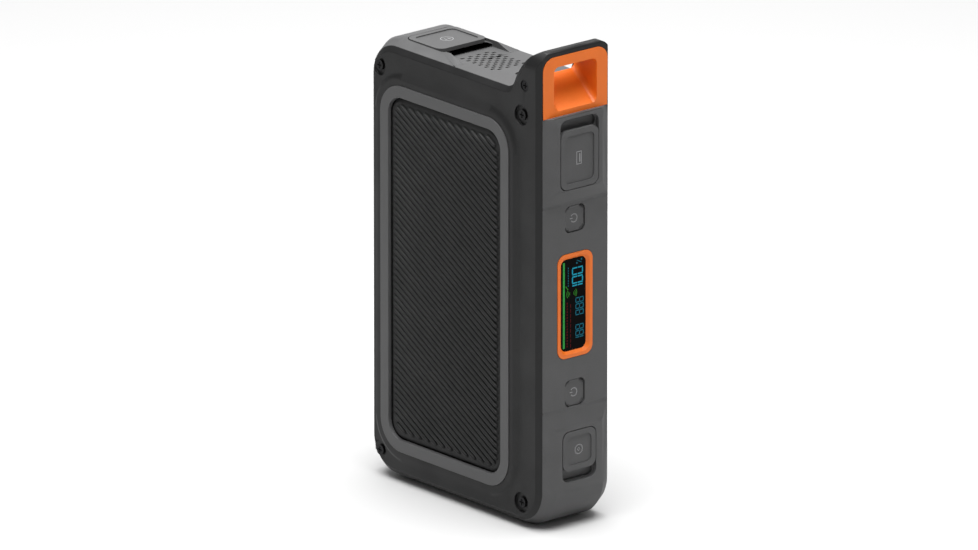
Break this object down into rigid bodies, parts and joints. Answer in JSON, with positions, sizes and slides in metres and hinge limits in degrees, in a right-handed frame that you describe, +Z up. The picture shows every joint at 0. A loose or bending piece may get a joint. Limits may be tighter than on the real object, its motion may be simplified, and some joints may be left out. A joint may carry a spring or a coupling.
{
  "type": "portable power pack",
  "caption": "Slim upright portable power pack with rubber-edged shells, a carrying loop, ribbed grip pads, a side display, push buttons and hinged socket covers.",
  "frame": {"origin": "on the standing surface, below the middle of the case", "axes": "+Z up the long side, +X towards the controls, -Y out of the front ribbed pad"},
  "size_m": [0.1376, 0.051, 0.2504],
  "materials": {
    "shell_black": "fine spark-eroded black plastic",
    "frame_grey": "fine textured grey plastic",
    "ring_grey": "satin dark grey plastic",
    "pad_rubber": "moulded ribs",
    "cover_rubber": "soft-touch grey",
    "orange_plastic": "satin orange",
    "button_grey": "soft-touch",
    "lens_black": "clear hard coat over black",
    "inner_plastic": "plain moulded",
    "white_plastic": "plain moulded",
    "board_green": "solder mask",
    "steel": "zinc plated",
    "dark_steel": "black oxide",
    "nickel": "nickel strip",
    "aluminium": "extruded",
    "copper": "enamelled wire",
    "cell_sleeve": "shrink sleeve",
    "ferrite": "pressed ferrite"
  },
  "bodies": {
    "case": {"ac_cover_anchor": "cover_rubber", "ac_socket": "inner_plastic", "ac_switch": "inner_plastic", "ac_switch_board": "board_green", "battery_cells": "cell_sleeve", "board_screws": "steel", "board_standoffs": "nickel", "capacitors": "inner_plastic", "cell_holder_left": "white_plastic", "cell_holder_right": "white_plastic", "charging_coil": "copper", "control_board": "board_green", "dc_cover_anchor": "cover_rubber", "dc_jacks": "inner_plastic", "dc_port_plate": "inner_plastic", "dc_switch": "inner_plastic", "display_bezel": "orange_plastic", "display_lens": "lens_black", "fan_frame": "inner_plastic", "ferrite_disc": "ferrite", "front_panel": "pad_rubber", "front_ring": "ring_grey", "front_screws": "dark_steel", "front_shell": "shell_black", "fuse": "white_plastic", "guard_board": "board_green", "heat_sink": "aluminium", "inverter_board": "board_green", "lcd_module": "inner_plastic", "loop_insert": "orange_plastic", "loop_screws": "dark_steel", "mid_frame": "frame_grey", "nickel_strips": "nickel", "power_transistors": "inner_plastic", "rear_panel": "pad_rubber", "rear_ring": "ring_grey", "rear_screws": "dark_steel", "rear_shell": "shell_black", "transformer_core": "ferrite", "transformer_windings": "copper", "usb_a_ports": "steel", "usb_c_port": "steel", "usb_cover_anchor": "cover_rubber", "usb_port_plate": "inner_plastic", "usb_switch": "inner_plastic"},
    "usb_cover_flap": {"usb_cover": "cover_rubber"},
    "dc_cover_flap": {"dc_cover": "cover_rubber"},
    "ac_cover_flap": {"ac_cover": "cover_rubber"},
    "usb_key": {"usb_button": "button_grey"},
    "dc_key": {"dc_button": "button_grey"},
    "ac_key": {"ac_button": "button_grey"},
    "fan_wheel": {"fan_rotor": "inner_plastic"}
  },
  "joints": [
    {"name": "usb_cover_hinge", "type": "hinge", "parent": "case", "child": "usb_cover_flap", "pos_m": [0.0688, 0, 0.1779], "axis": [0, 1, 0], "range_deg": [0, 110]},
    {"name": "dc_cover_hinge", "type": "hinge", "parent": "case", "child": "dc_cover_flap", "pos_m": [0.0688, 0, 0.0511], "axis": [0, -1, 0], "range_deg": [0, 110]},
    {"name": "ac_cover_hinge", "type": "hinge", "parent": "case", "child": "ac_cover_flap", "pos_m": [-0.047, 0, 0.2316], "axis": [0, -1, 0], "range_deg": [0, 110]},
    {"name": "usb_button_press", "type": "slide", "parent": "case", "child": "usb_key", "axis": [-1, 0, 0], "range_m": [0, 0.0008], "stiffness_N_per_m": 400},
    {"name": "dc_button_press", "type": "slide", "parent": "case", "child": "dc_key", "axis": [-1, 0, 0], "range_m": [0, 0.0008], "stiffness_N_per_m": 400},
    {"name": "ac_button_press", "type": "slide", "parent": "case", "child": "ac_key", "axis": [0, 0, -1], "range_m": [0, 0.0008], "stiffness_N_per_m": 400},
    {"name": "fan_spin", "type": "hinge", "parent": "case", "child": "fan_wheel", "pos_m": [0.0023, 0, 0.2155], "axis": [0, 0, 1], "continuous": true}
  ]
}
